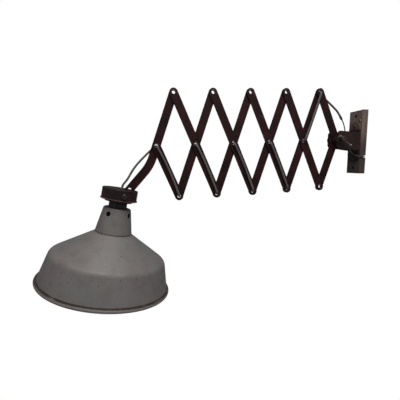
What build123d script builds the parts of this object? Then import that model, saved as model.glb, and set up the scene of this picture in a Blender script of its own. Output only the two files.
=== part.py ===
"""Accordion wall lamp: wooden wall board, steel bracket, scissor arm, woven-in flex and spun metal shade.

Units are millimetres. The origin is the centre of the board's back face, so the wall is the plane X = 0.
+X points into the wall, the arm reaches out along -X, and +Z is up. The scissor strips lie in planes
parallel to XZ: the front layer is on the -Y side, the rear layer on the +Y side.

Two working frames are used. The arm frame has its origin on the wall pivot and is turned by ARM_DROOP,
the few degrees by which the loaded arm hangs. The head frame has its origin in the middle of the cap's
top and is turned by HEAD_TILT; in it, depth is counted downwards along the lamp's axis.
"""
import os
from math import atan2, cos, degrees, hypot, pi, radians, sin, sqrt, tan

from build123d import *

os.makedirs("parts", exist_ok=True)

# ---- wall board -------------------------------------------------------------------------------------
BOARD_H = 165.0
BOARD_W = 50.0
BOARD_T = 16.0
BOARD_EDGE = 1.2            # worn edge all round the face
MOUNT_SPACING = 136.0       # between the two wall-screw holes
MOUNT_HOLE_R = 3.2
POCKET_W = 26.0             # recess in the back for the terminal block
POCKET_H = 48.0
POCKET_D = 9.0
GROOVE_W = 5.0              # groove in the back, from the board's near side up to the recess
GROOVE_D = 6.0
GROOVE_Y = -9.0
TERMINAL_W = 18.0
TERMINAL_H = 14.0
TERMINAL_RISE = 6.0         # terminal block's middle above the middle of the board
TERMINAL_MID = 5.0          # its wires' depth, from the board's back
TERMINAL_BACK = 1.0         # and how far its own back lies inside the board's
TERMINAL_POLE = 4.5         # either wire, sideways from its middle
TERMINAL_HOLE_R = 1.6
TERMINAL_SCREW_R = 2.0
BRASS_Y = -15.7             # small brass screw beside the bracket's upper end
BRASS_PAST_BRACKET = 2.2
BRASS_R = 1.5
BRASS_L = 7.0
BRASS_HEAD_R = 3.2
BRASS_HEAD_H = 1.9
FIT = 0.05                  # radial clearance of shafts and shanks in their holes
GLIDE = 0.1                 # side clearance between parts that turn past each other

# ---- bracket ----------------------------------------------------------------------------------------
BRACKET_W = 41.0
BRACKET_H = 105.0
BRACKET_T = 3.0
BRACKET_BEND = 3.5
CHEEK_ROOT = (-21.5, 25.0)  # lower and upper edge of a cheek, at the web
CHEEK_END = (-14.5, 28.5)   # and at its free end
CHEEK_CORNER = 9.0
CHEEK_PAST_PIVOT = 9.0
BRACKET_SCREW_SPACING = 82.0
BRACKET_SCREW_R = 2.0
BRACKET_SCREW_L = 10.0
BRACKET_SCREW_HEAD_R = 5.0
BRACKET_SCREW_HEAD_H = 2.8

# ---- wall pivot -------------------------------------------------------------------------------------
PIVOT_REACH = 58.0          # from the board's face to the wall pivot
PIVOT_RISE = 6.0            # above the middle of the board
PIVOT_BOLT_R = 4.0
BUSH_R = 6.0
SLEEVE_R = 8.0
WASHER_R = 10.0
WASHER_T = 1.2
BOLT_HEAD_R = 7.5
BOLT_HEAD_H = 6.0
KNOB_R = 11.0
KNOB_T = 3.0
KNOB_BOSS_R = 7.0
KNOB_BOSS_H = 12.5
TOMMY_R = 2.0
TOMMY_L = 38.0
TOMMY_BALL_R = 3.0
TOMMY_SLOPE = 36.0          # bar's slope down towards the wall
TOMMY_SLIDE = 8.0           # and how far it has slid that way through the boss
TOMMY_FROM_END = 4.2        # bar's axis, in from the boss's outer end

# ---- scissor arm ------------------------------------------------------------------------------------
LINK = 130.0                # pivot to pivot along half a strip
LINK_ANGLE = 68.74          # strips' slope to the arm's axis, as photographed
CELLS = 5
ARM_DROOP = 2.6
STRIP_W = 20.0
STRIP_T = 3.0
LAYER_GAP = 0.4
RIVET_BORE_R = 4.0
RIVET_R = 5.2
RIVET_RIM_R = 6.3
RIVET_RIM_H = 1.1

# ---- lamp carrier: the first rear strip, bent and carried on down to the lamp head -------------------
CARRIER_BEND_START = 27.0   # below the last middle pivot
CARRIER_BEND_R = 106.0
CARRIER_BEND = 22.5
CARRIER_TAIL = 69.4         # from the end of the bend to the head bolt
CARRIER_HOLE_BACK = 16.8    # spare hole, back from the head bolt
CARRIER_HOLE_R = 4.0
HEAD_BOLT_R = 2.5
HEAD_BOLT_HEAD_R = 6.5
HEAD_BOLT_HEAD_H = 3.4
HEAD_BOLT_PAST_NUT = 2.0
HEAD_NUT_R = 4.6            # across its corners
HEAD_NUT_H = 4.0
HEAD_SEAT_R = 6.0
HEAD_SEAT_H = 0.6           # least thickness of the seats on the cap's curved wall

# ---- lamp head --------------------------------------------------------------------------------------
HEAD_TILT = 13.5            # from the arm frame's vertical, mouth outwards
BOLT_SIDE = 11.7            # head bolt: sideways from the cap's axis
BOLT_DEPTH = 12.9           # and below the cap's top
CAP_R = 40.4
CAP_H = 23.4
SHEET_T = 1.2
CAP_SLOT_FROM = -2.4
CAP_SLOT_TO = 37.0
CAP_SLOT_W = 5.0
CORD_HOLE_SIDE = 2.6
CORD_HOLE_BACK = 11.0
GROMMET_R = 5.6
GROMMET_NECK_R = 4.0
CORD_PASS = 0.5             # the flex's clearance in the grommet
LIP_BEAD_R = 1.5
BASE_STEP_R = 31.3
BASE_STEP_H = 5.2
SPACER_R = 3.6
STUB_RISE = 3.6
STUB_R = 5.0
STUB_BORE_R = 3.0
HOLDER_NECK_R = 19.4
HOLDER_NECK_H = 3.0
HOLDER_RING_R = 20.8
HOLDER_RING_H = 11.5
HOLDER_BARREL_R = 19.2
HOLDER_BARREL_H = 32.0
SHELL_R = 14.2
SHELL_H = 24.0
LOCK_NUT_AF = 14.0
LOCK_NUT_H = 2.0

# ---- shade ------------------------------------------------------------------------------------------
COLLAR_TOP_R = 31.0
COLLAR_FOOT_R = 41.8
COLLAR_H = 57.2
COLLAR_SHOULDER = 4.5
VENT_R = 5.6
VENT_DEPTH = 13.0           # vent centres below the collar's top
VENT_COUNT = 4
VENT_TURN = 30.0            # first vent, clockwise from the front
SHADE_NECK_H = 7.0
NECK_ROUND = 1.2
SHOULDER_R = 131.0
SHOULDER_DROP = 57.1        # from the seam to the shoulder
SHOULDER_ROUND = 16.0
RIM_R = 148.1
SKIRT_DROP = 66.5           # from the shoulder to the middle of the rolled rim
BEAD_R = 4.3
RING_R = 27.0
RING_H = 6.5

# ---- bulb -------------------------------------------------------------------------------------------
BULB_CAP_R = 13.0
BULB_CAP_H = 25.0
BULB_NECK_R = 15.0
BULB_R = 30.0
BULB_L = 78.0               # glass below the cap

# ---- flex and lead ----------------------------------------------------------------------------------
CORD_D = 5.2
LEAD_D = 2.8
CORD_LIFT = 0.6             # between a run of flex and the strip it lies along
BOWS_FRONT = (3.4, 2.8, 3.0, 2.4)    # how far each run strays sideways, from the lamp to the wall
BOWS_REAR = (2.0, -1.6, 1.8, -2.2)
BOW_LAST = -2.4
FERRULE_L = 10.0
FERRULE_R = 3.1
FERRULE_START = (19.6, 8.2, 60.2)    # in the arm frame, where the braid enters it
FERRULE_HEADING = -59.0
CLIP_Y = 11.0               # saddle on the web that holds the thin lead
CLIP_Z = -9.0
CLIP_L = 6.0
CLIP_W = 6.4
CLIP_WALL = 1.0
LEAD_Z = -38.0              # height at which the lead crosses the board's near side
LEAD_GAP = 0.2              # between the lead and what it runs along

# ---- values that follow -----------------------------------------------------------------------------
BRACKET_FACE = -BOARD_T - BRACKET_T
PIVOT = (-BOARD_T - PIVOT_REACH, 0.0, PIVOT_RISE)
HALF_CELL = LINK * cos(radians(LINK_ANGLE))
HALF_H = LINK * sin(radians(LINK_ANGLE))
FACE_Y = LAYER_GAP / 2 + STRIP_T           # outer face of either layer
RIM_Y = FACE_Y + RIVET_RIM_H
CHEEK_IN = BRACKET_W / 2 - BRACKET_T
CHEEK_OUT = BRACKET_W / 2
ARM = Pos(*PIVOT) * Rot(0, -ARM_DROOP, 0)
CORD_R = CORD_D / 2
LEAD_R = LEAD_D / 2
BRASS_Z = BRACKET_H / 2 + BRASS_PAST_BRACKET
LEAD_X = BRACKET_FACE - LEAD_R - LEAD_GAP        # lead's centre line along the web
SIDE_Y = -BOARD_W / 2 - LEAD_R - LEAD_GAP        # and along the board's near side
GROOVE_MID = -GROOVE_D / 2

written = []


def save(shape, name, place=None):
    """Writes one sub-part, moved from its working frame into the part's own frame."""
    moved = place * shape if place is not None else shape
    export_step(moved, f"parts/{name}.step")
    written.append(name)
    return moved


def group(solids):
    """Several separate solids that share one node."""
    return Compound(children=list(solids))


def plate(sketch, y_from, y_to):
    """A flat plate parallel to XZ, from a sketch drawn in (X, Z), between two Y values."""
    return extrude(Plane.XZ.offset(-y_to) * sketch, amount=y_to - y_from)


def rod_y(radius, y_from, y_to, x=0.0, z=0.0):
    """A round bar along Y."""
    return plate(Pos(x, z) * Circle(radius), y_from, y_to)


def turned(profile):
    """A body of revolution about Z, from a sketch drawn in (radius, Z)."""
    return revolve(Plane.XZ * profile, axis=Axis.Z)


def turned_y(profile):
    """A body of revolution about Y, from a sketch drawn in (radius, Y)."""
    return Rot(-90, 0, 0) * turned(profile)


def polygon(*points):
    return make_face(Polyline(*points, close=True))


def box(x_from, x_to, y_from, y_to, z_from, z_to):
    size = (x_to - x_from, y_to - y_from, z_to - z_from)
    return Pos((x_from + x_to) / 2, (y_from + y_to) / 2, (z_from + z_to) / 2) * Box(*size)


# ---- the arm's pivots, in the arm frame --------------------------------------------------------------
def top(k):
    """Upper pivot of cell k, counted from 1 at the lamp to CELLS at the wall."""
    return (-HALF_CELL * (2 * (CELLS - k) + 1), HALF_H)


def low(k):
    """Lower pivot of cell k."""
    return (-HALF_CELL * (2 * (CELLS - k) + 1), -HALF_H)


def middle(k):
    """Middle pivot: 0 next to the lamp, CELLS on the wall pivot itself."""
    return (-HALF_CELL * 2 * (CELLS - k), 0.0)


# ---- flex routes -------------------------------------------------------------------------------------
def arc_radii(points):
    """For each corner the largest arc that leaves both its runs room: 0.45 of the shorter run."""
    radii = []
    for a, b, c in zip(points, points[1:], points[2:]):
        before = Vector(*b) - Vector(*a)
        after = Vector(*c) - Vector(*b)
        half_turn = radians(before.get_angle(after)) / 2
        radii.append(0.45 * min(before.length, after.length) / tan(half_turn))
    return radii


def flex(name, points, diameter, place=None):
    """A flex or lead: straight runs joined by tangent arcs, and its tube."""
    radii = arc_radii(points)
    path = FilletPolyline(*points, radius=radii)
    start = Plane(origin=path @ 0, z_dir=path % 0)
    tube = sweep(start * Circle(diameter / 2), path=path)
    true_volume = path.length * pi * (diameter / 2) ** 2
    print(f"{name}: length {path.length:.1f}, tightest arc {min(radii):.1f}, "
          f"volume {tube.volume / true_volume:.4f} of its section times its length")
    return save(tube, name, place)


def woven_run(start, end, side, bow):
    """Route of the flex along one half strip, from one hollow rivet's bore to the next.

    side is -1 in front of the strip and +1 behind it; bow is how far the run strays sideways.
    """
    length = hypot(end[0] - start[0], end[1] - start[1])
    along = ((end[0] - start[0]) / length, (end[1] - start[1]) / length)
    across = (-along[1], along[0])
    bend_y = RIM_Y + CORD_R + 1.9
    lie_y = FACE_Y + CORD_R + CORD_LIFT
    half = [(0.0, 0.0, 0.0), (0.0, RIM_Y + 0.3, 0.0), (4.0, bend_y, 0.1 * bow),
            (14.0, bend_y - 0.7, 0.4 * bow), (34.0, lie_y + 0.3, 0.85 * bow)]
    far_half = [(length - reach, out, 0.9 * stray) for reach, out, stray in reversed(half)]
    route = half + [(length / 2, lie_y, bow)] + far_half
    return [(start[0] + along[0] * reach + across[0] * stray, side * out,
             start[1] + along[1] * reach + across[1] * stray) for reach, out, stray in route]


# ---- wall board and what is screwed to it ------------------------------------------------------------
def wall_board():
    board = box(-BOARD_T, 0, -BOARD_W / 2, BOARD_W / 2, -BOARD_H / 2, BOARD_H / 2)
    face_edges = board.faces().sort_by(Axis.X)[0].edges()
    board = chamfer(face_edges, BOARD_EDGE)
    for side in (1, -1):
        board -= Pos(-BOARD_T / 2, 0, side * MOUNT_SPACING / 2) * Rot(0, 90, 0) * Cylinder(
            MOUNT_HOLE_R, BOARD_T + 2)
        board -= Pos(-BOARD_T + BRACKET_SCREW_L / 2, 0, side * BRACKET_SCREW_SPACING / 2) * Rot(
            0, 90, 0) * Cylinder(BRACKET_SCREW_R + FIT, BRACKET_SCREW_L + 1)
    board -= Pos(-BOARD_T + BRASS_L / 2, BRASS_Y, BRASS_Z) * Rot(0, 90, 0) * Cylinder(
        BRASS_R + FIT, BRASS_L + 1)
    board -= box(-POCKET_D, 1, -POCKET_W / 2, POCKET_W / 2, -POCKET_H / 2, POCKET_H / 2)
    board -= box(-GROOVE_D, 1, GROOVE_Y - GROOVE_W / 2, GROOVE_Y + GROOVE_W / 2,
                 LEAD_Z - GROOVE_W / 2, -POCKET_H / 2 + 1)
    board -= box(-GROOVE_D, 1, -BOARD_W / 2 - 1, GROOVE_Y, LEAD_Z - GROOVE_W / 2, LEAD_Z + GROOVE_W / 2)
    return board


save(wall_board(), "wall_board")


def wall_bracket():
    """Sheet-steel U: an obround web against the board, its edges bent out into two cheeks."""
    web = plate_yz(Rot(0, 0, 90) * SlotOverall(BRACKET_H, BRACKET_W), BRACKET_FACE, -BOARD_T)
    end_x = PIVOT[0] - CHEEK_PAST_PIVOT
    deep = -BOARD_T - end_x
    outer = Pos(-BOARD_T - deep / 2, 0) * Rectangle(deep, BRACKET_W)
    inner = Pos(-BOARD_T - deep / 2 - BRACKET_T, 0) * Rectangle(deep, BRACKET_W - 2 * BRACKET_T)
    outer = fillet(outer.vertices().group_by(Axis.X)[-1], BRACKET_BEND)
    inner = fillet(inner.vertices().group_by(Axis.X)[-1], BRACKET_BEND - BRACKET_T + 0.4)
    channel = Pos(0, 0, -BRACKET_H / 2) * extrude(outer - inner, amount=BRACKET_H)
    low_root, high_root = CHEEK_ROOT
    side = polygon((-BOARD_T + 1, low_root), (-BOARD_T + 1, high_root), (BRACKET_FACE - 4, high_root),
                   (end_x, CHEEK_END[1]), (end_x, CHEEK_END[0]), (BRACKET_FACE - 4, low_root))
    side = fillet(side.vertices().group_by(Axis.X)[0], CHEEK_CORNER)
    bracket = web + (channel & plate(side, -BRACKET_W, BRACKET_W))
    bracket -= rod_y(PIVOT_BOLT_R + FIT, -BRACKET_W, BRACKET_W, PIVOT[0], PIVOT[2])
    for half in (1, -1):
        bracket -= Pos(BRACKET_FACE, 0, half * BRACKET_SCREW_SPACING / 2) * Rot(0, 90, 0) * Cylinder(
            BRACKET_SCREW_R + FIT, 4 * BRACKET_T)
    return bracket


def plate_yz(sketch, x_from, x_to):
    """A flat plate parallel to YZ, from a sketch drawn in (Y, Z)."""
    return extrude(Plane.YZ.offset(x_from) * sketch, amount=x_to - x_from)


def round_head_screw(radius, length, head_radius, head_height):
    """A round-headed wood screw along -X (head) to +X (point), its head's seat at X = 0."""
    shank = Pos(length / 2, 0, 0) * Rot(0, 90, 0) * Cylinder(radius, length)
    shank = chamfer(shank.edges().sort_by(Axis.X)[-1], 0.7 * radius)
    crown = (head_radius ** 2 + head_height ** 2) / (2 * head_height)
    ball = Pos(crown - head_height, 0, 0) * Sphere(crown)
    keep = Pos(-head_height / 2, 0, 0) * Rot(0, 90, 0) * Cylinder(head_radius, head_height)
    head = ball & keep
    slot = Pos(-head_height, 0, 0) * Box(head_height, 0.28 * head_radius, 3 * head_radius)
    return shank + (head - slot)


save(wall_bracket(), "wall_bracket")
bracket_screw = round_head_screw(BRACKET_SCREW_R, BRACKET_SCREW_L, BRACKET_SCREW_HEAD_R,
                                 BRACKET_SCREW_HEAD_H)
save(group([Pos(BRACKET_FACE, 0, half * BRACKET_SCREW_SPACING / 2) * Rot(35 * half, 0, 0) * bracket_screw
            for half in (1, -1)]), "bracket_screws")
brass_screw = round_head_screw(BRASS_R, BRASS_L, BRASS_HEAD_R, BRASS_HEAD_H)
save(Pos(-BOARD_T, BRASS_Y, BRASS_Z) * Rot(20, 0, 0) * brass_screw, "brass_screw")


def terminal_block():
    """Two-pole porcelain block in the recess; the wires enter it from below and leave it at the back."""
    block = box(-POCKET_D, -TERMINAL_BACK, -TERMINAL_W / 2, TERMINAL_W / 2,
                TERMINAL_RISE - TERMINAL_H / 2, TERMINAL_RISE + TERMINAL_H / 2)
    block = fillet(block.edges().filter_by(Axis.X), 1.5)
    for pole in (-TERMINAL_POLE, TERMINAL_POLE):
        block -= Pos(-TERMINAL_MID, pole, TERMINAL_RISE) * Cylinder(TERMINAL_HOLE_R, 3 * TERMINAL_H)
        block -= Pos(-TERMINAL_BACK, pole, TERMINAL_RISE) * Rot(0, 90, 0) * Cylinder(TERMINAL_SCREW_R, 5)
    return block


save(terminal_block(), "terminal_block")

# ---- wall pivot --------------------------------------------------------------------------------------
AT_PIVOT = Pos(*PIVOT)
STACK = CHEEK_OUT + WASHER_T
BAR_Y = -(STACK + GLIDE + KNOB_T + KNOB_BOSS_H - TOMMY_FROM_END)


def clamp_bolt():
    """Round-headed bolt, its head behind the rear cheek; the thread ends inside the nut, short of the bar."""
    end = -BAR_Y - TOMMY_R - 0.6
    bolt = rod_y(PIVOT_BOLT_R, -end, STACK)
    bolt = chamfer(bolt.edges().sort_by(Axis.Y)[0], 1.0)
    head = rod_y(BOLT_HEAD_R, STACK, STACK + BOLT_HEAD_H)
    head = fillet(head.edges().sort_by(Axis.Y)[-1], 0.55 * BOLT_HEAD_H)
    return bolt + head


def bar_direction():
    return Rot(0, TOMMY_SLOPE, 0)


def bar_hole(radius):
    return Pos(0, BAR_Y, 0) * bar_direction() * Rot(0, 90, 0) * Cylinder(radius, TOMMY_L)


def clamp_nut():
    """Round flanged nut, blind-tapped for the bolt and cross-drilled for the bar that tightens it."""
    foot = -STACK - GLIDE
    nut = rod_y(KNOB_R, foot - KNOB_T, foot)
    nut = fillet(nut.edges().sort_by(Axis.Y)[0], 1.4)
    boss = rod_y(KNOB_BOSS_R, foot - KNOB_T - KNOB_BOSS_H, foot - KNOB_T + 0.5)
    boss = fillet(boss.edges().sort_by(Axis.Y)[0], 1.8)
    bore = rod_y(PIVOT_BOLT_R + FIT, BAR_Y, foot + 1)
    return nut + boss - bore - bar_hole(TOMMY_R + FIT)


def tommy_bar():
    """Sliding cross bar with a knob on each end."""
    bar = Rot(0, 90, 0) * Cylinder(TOMMY_R, TOMMY_L)
    for end in (1, -1):
        bar += Pos(end * (TOMMY_L / 2 - 0.5), 0, 0) * Sphere(TOMMY_BALL_R)
    return Pos(0, BAR_Y, 0) * bar_direction() * Pos(TOMMY_SLIDE, 0, 0) * bar


def washer(y_from, y_to):
    return rod_y(WASHER_R, y_from, y_to) - rod_y(PIVOT_BOLT_R + FIT, y_from - 1, y_to + 1)


def ring_y(outer, inner, y_from, y_to):
    return rod_y(outer, y_from, y_to) - rod_y(inner, y_from - 1, y_to + 1)


save(clamp_bolt(), "clamp_bolt", AT_PIVOT)
save(clamp_nut(), "clamp_nut", AT_PIVOT)
save(tommy_bar(), "tommy_bar", AT_PIVOT)
save(group([washer(-STACK, -CHEEK_OUT), washer(CHEEK_OUT, STACK)]), "clamp_washers", AT_PIVOT)
save(ring_y(BUSH_R, PIVOT_BOLT_R + FIT, -FACE_Y - GLIDE, FACE_Y + GLIDE), "pivot_bush", AT_PIVOT)
sleeve_in = FACE_Y + GLIDE
sleeve_out = CHEEK_IN - GLIDE
save(group([ring_y(SLEEVE_R, PIVOT_BOLT_R + FIT, -sleeve_out, -sleeve_in),
            ring_y(SLEEVE_R, PIVOT_BOLT_R + FIT, sleeve_in, sleeve_out)]), "spacer_sleeves", AT_PIVOT)


# ---- scissor strips ----------------------------------------------------------------------------------
def strip_sketch(start, end):
    """A straight strip with round ends centred on its two outer pivots."""
    middle_x = (start[0] + end[0]) / 2
    middle_z = (start[1] + end[1]) / 2
    slope = degrees(atan2(end[1] - start[1], end[0] - start[0]))
    span = hypot(end[0] - start[0], end[1] - start[1])
    return Pos(middle_x, middle_z) * Rot(0, 0, slope) * SlotCenterToCenter(span, STRIP_W)


def layer_plate(sketch, layer):
    """A strip's plate in the front layer (-1) or the rear layer (+1)."""
    near = LAYER_GAP / 2
    return plate(sketch, *sorted((layer * near, layer * FACE_Y)))


def strip(start, end, layer, holes, wide_hole=None):
    sketch = strip_sketch(start, end)
    for x, z in holes:
        sketch -= Pos(x, z) * Circle(RIVET_R + FIT)
    if wide_hole is not None:
        sketch -= Pos(*wide_hole) * Circle(BUSH_R + FIT)
    return layer_plate(sketch, layer)


FRONT = -1
REAR = 1
for k in range(1, CELLS):
    save(strip(top(k), low(k + 1), FRONT, [top(k), middle(k), low(k + 1)]), f"front_strip_{k}", ARM)
    save(strip(low(k), top(k + 1), REAR, [low(k), middle(k), top(k + 1)]), f"rear_strip_{k}", ARM)
save(strip(middle(0), low(1), FRONT, [middle(0), low(1)]), "front_half_strip_lamp", ARM)
save(strip(top(CELLS), middle(CELLS), FRONT, [top(CELLS)], middle(CELLS)), "front_half_strip_wall", ARM)
save(strip(low(CELLS), middle(CELLS), REAR, [low(CELLS)], middle(CELLS)), "rear_half_strip_wall", ARM)


def along(point, heading, distance):
    """The point that lies a distance from another, at a heading in degrees from +X towards +Z."""
    return (point[0] + distance * cos(radians(heading)), point[1] + distance * sin(radians(heading)))


UPPER_HEADING = 180 + LINK_ANGLE                 # down and outwards along the straight part
LOWER_HEADING = UPPER_HEADING - CARRIER_BEND     # after the bend
bend_start = along(middle(0), UPPER_HEADING, CARRIER_BEND_START)
bend_centre = along(bend_start, UPPER_HEADING - 90, CARRIER_BEND_R)
bend_end = along(bend_centre, LOWER_HEADING + 90, CARRIER_BEND_R)
HEAD_BOLT = along(bend_end, LOWER_HEADING, CARRIER_TAIL)
CARRIER_HOLE = along(HEAD_BOLT, LOWER_HEADING, -CARRIER_HOLE_BACK)


def carrier_sketch():
    """Outline of the bent strip: both long edges follow the same centre line."""
    half = STRIP_W / 2
    mid_heading = (UPPER_HEADING + LOWER_HEADING) / 2
    inner = CARRIER_BEND_R - half
    outer = CARRIER_BEND_R + half
    first = top(1)
    edge_in = [along(first, UPPER_HEADING - 90, half), along(bend_centre, UPPER_HEADING + 90, inner),
               along(bend_centre, mid_heading + 90, inner), along(bend_centre, LOWER_HEADING + 90, inner),
               along(HEAD_BOLT, LOWER_HEADING - 90, half)]
    edge_out = [along(HEAD_BOLT, LOWER_HEADING + 90, half), along(bend_centre, LOWER_HEADING + 90, outer),
                along(bend_centre, mid_heading + 90, outer), along(bend_centre, UPPER_HEADING + 90, outer),
                along(first, UPPER_HEADING + 90, half)]
    outline = [Line(edge_in[0], edge_in[1]),
               ThreePointArc(edge_in[1], edge_in[2], edge_in[3]),
               Line(edge_in[3], edge_in[4]),
               ThreePointArc(edge_in[4], along(HEAD_BOLT, LOWER_HEADING, half), edge_out[0]),
               Line(edge_out[0], edge_out[1]),
               ThreePointArc(edge_out[1], edge_out[2], edge_out[3]),
               Line(edge_out[3], edge_out[4]),
               ThreePointArc(edge_out[4], along(first, UPPER_HEADING, -half), edge_in[0])]
    return make_face(Wire(outline))


def lamp_carrier():
    sketch = carrier_sketch()
    for x, z in (top(1), middle(0)):
        sketch -= Pos(x, z) * Circle(RIVET_R + FIT)
    sketch -= Pos(*CARRIER_HOLE) * Circle(CARRIER_HOLE_R)
    sketch -= Pos(*HEAD_BOLT) * Circle(HEAD_BOLT_R + FIT)
    return layer_plate(sketch, REAR)


save(lamp_carrier(), "lamp_carrier", ARM)


def hollow_rivet():
    """Rolled eyelet through both layers, along Y, with the bore that the flex threads through."""
    far_face = FACE_Y + GLIDE
    crown = (RIVET_BORE_R + RIVET_RIM_R) / 2
    outline = [Line((RIVET_BORE_R, -FACE_Y), (RIVET_BORE_R, far_face)),
               ThreePointArc((RIVET_BORE_R, far_face), (crown, far_face + RIVET_RIM_H),
                             (RIVET_RIM_R, far_face)),
               Line((RIVET_RIM_R, far_face), (RIVET_R, far_face)),
               Line((RIVET_R, far_face), (RIVET_R, -FACE_Y)),
               Line((RIVET_R, -FACE_Y), (RIVET_RIM_R, -FACE_Y)),
               ThreePointArc((RIVET_RIM_R, -FACE_Y), (crown, -RIM_Y), (RIVET_BORE_R, -FACE_Y))]
    return turned_y(make_face(Wire(outline)))


def rivets(points, name):
    save(group([Pos(x, 0, z) * hollow_rivet() for x, z in points]), name, ARM)


for k in range(1, CELLS):
    rivets([top(k), middle(k), low(k + 1)], f"rivets_front_strip_{k}")
rivets([middle(0), low(1)], "rivets_front_half_lamp")
rivets([top(CELLS)], "rivet_front_half_wall")

# ---- flex woven through the rivets -------------------------------------------------------------------
# From the lamp it passes in front of each front half strip on the way down, and behind each rear half
# strip on the way up, so it changes sides at every middle and lower pivot.
for k in range(1, CELLS):
    down = woven_run(middle(k - 1), low(k), FRONT, BOWS_FRONT[k - 1])
    flex(f"flex_front_{k}", down, CORD_D, ARM)
    up = woven_run(low(k), middle(k), REAR, BOWS_REAR[k - 1])
    flex(f"flex_rear_{k}", up, CORD_D, ARM)
flex("flex_front_top", woven_run(middle(CELLS - 1), top(CELLS), FRONT, BOW_LAST), CORD_D, ARM)

# ---- lamp head ---------------------------------------------------------------------------------------
tilt = radians(HEAD_TILT)
CAP_TOP = (HEAD_BOLT[0] - BOLT_SIDE * cos(tilt) + BOLT_DEPTH * sin(tilt),
           HEAD_BOLT[1] + BOLT_SIDE * sin(tilt) + BOLT_DEPTH * cos(tilt))
HEAD_IN_ARM = Pos(CAP_TOP[0], 0, CAP_TOP[1]) * Rot(0, HEAD_TILT, 0)
HEAD = ARM * HEAD_IN_ARM
BASE_DEPTH = CAP_H + SHEET_T                     # underside of the base's flat ring
HOLDER_DEPTH = BASE_DEPTH + BASE_STEP_H          # where the holder's neck starts
COLLAR_DEPTH = HOLDER_DEPTH + HOLDER_NECK_H + HOLDER_RING_H
SEAM_DEPTH = COLLAR_DEPTH + COLLAR_H
SHOULDER_DEPTH = SEAM_DEPTH + SHOULDER_DROP
RIM_DEPTH = SHOULDER_DEPTH + SKIRT_DROP


def cap():
    """Drawn steel cap over the holder, slotted on top for the carrier strip."""
    shell = turned(polygon((0, 0), (CAP_R, 0), (CAP_R, -CAP_H), (CAP_R - SHEET_T, -CAP_H),
                           (CAP_R - SHEET_T, -SHEET_T), (0, -SHEET_T)))
    rim_edge = shell.edges().filter_by(GeomType.CIRCLE).group_by(Axis.Z)[-1]
    shell = fillet(rim_edge, 0.8 * SHEET_T)
    slot_y = (LAYER_GAP / 2 + FACE_Y) / 2
    slot_mid = (CAP_SLOT_FROM + CAP_SLOT_TO) / 2
    slot = Pos(slot_mid, slot_y) * SlotOverall(CAP_SLOT_TO - CAP_SLOT_FROM, CAP_SLOT_W)
    shell -= Pos(0, 0, -2 * SHEET_T) * extrude(slot, amount=3 * SHEET_T)
    shell -= Pos(CORD_HOLE_SIDE, CORD_HOLE_BACK, 0) * Cylinder(GROMMET_NECK_R + FIT, 4 * SHEET_T)
    shell -= rod_y(HEAD_BOLT_R + FIT, -2 * CAP_R, 2 * CAP_R, BOLT_SIDE, -BOLT_DEPTH)
    return shell


def cap_base():
    """Dished plate that closes the cap; its edge is rolled round the cap's own edge."""
    foot = -BASE_DEPTH
    step = foot - BASE_STEP_H
    dish = polygon((CAP_R, foot + SHEET_T), (CAP_R, foot), (BASE_STEP_R, foot), (BASE_STEP_R, step),
                   (STUB_R + FIT, step), (STUB_R + FIT, step + SHEET_T),
                   (BASE_STEP_R - SHEET_T, step + SHEET_T), (BASE_STEP_R - SHEET_T, foot + SHEET_T))
    bead = Pos(CAP_R + 0.4, foot + 0.3) * Circle(LIP_BEAD_R)
    clear = Pos(CAP_R - SHEET_T / 2, foot + SHEET_T + 5) * Rectangle(SHEET_T + 2 * FIT, 10)
    return turned(dish + bead - clear)


def saddle_end(inner_radius, y_side, radius, reach):
    """A short round seat that fits the cap's curved wall, on the front (-1) or rear (+1) side."""
    near, far = sorted((y_side * 0.6 * CAP_R, y_side * reach))
    seat = rod_y(radius, near, far, BOLT_SIDE, -BOLT_DEPTH)
    return seat - Pos(0, 0, -BOLT_DEPTH) * Cylinder(inner_radius, 4 * BOLT_DEPTH)


BOLT_SEAT = sqrt(CAP_R ** 2 - (BOLT_SIDE - HEAD_BOLT_HEAD_R) ** 2) + HEAD_SEAT_H


def head_bolt():
    """Pivot bolt of the lamp head: right across the cap and through the carrier's end."""
    end = BOLT_SEAT + HEAD_NUT_H + HEAD_BOLT_PAST_NUT
    shank = rod_y(HEAD_BOLT_R, -BOLT_SEAT, end, BOLT_SIDE, -BOLT_DEPTH)
    shank = chamfer(shank.edges().sort_by(Axis.Y)[-1], 0.25 * HEAD_BOLT_R)
    crown = -BOLT_SEAT - HEAD_BOLT_HEAD_H
    head = rod_y(HEAD_BOLT_HEAD_R, crown, -BOLT_SEAT, BOLT_SIDE, -BOLT_DEPTH)
    head = fillet(head.edges().sort_by(Axis.Y)[0], 0.65 * HEAD_BOLT_HEAD_H)
    slot = Pos(BOLT_SIDE, crown, -BOLT_DEPTH) * Rot(0, 25, 0) * Box(
        3 * HEAD_BOLT_HEAD_R, 0.6 * HEAD_BOLT_HEAD_H, 0.2 * HEAD_BOLT_HEAD_R)
    return shank + head - slot + saddle_end(CAP_R + FIT, -1, HEAD_BOLT_HEAD_R, BOLT_SEAT)


def head_nut():
    hexagon = Pos(BOLT_SIDE, -BOLT_DEPTH) * RegularPolygon(HEAD_NUT_R, 6)
    nut = plate(hexagon, BOLT_SEAT, BOLT_SEAT + HEAD_NUT_H)
    nut += saddle_end(CAP_R + FIT, 1, HEAD_SEAT_R, BOLT_SEAT)
    return nut - rod_y(HEAD_BOLT_R + FIT, 0, 2 * CAP_R, BOLT_SIDE, -BOLT_DEPTH)


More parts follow.
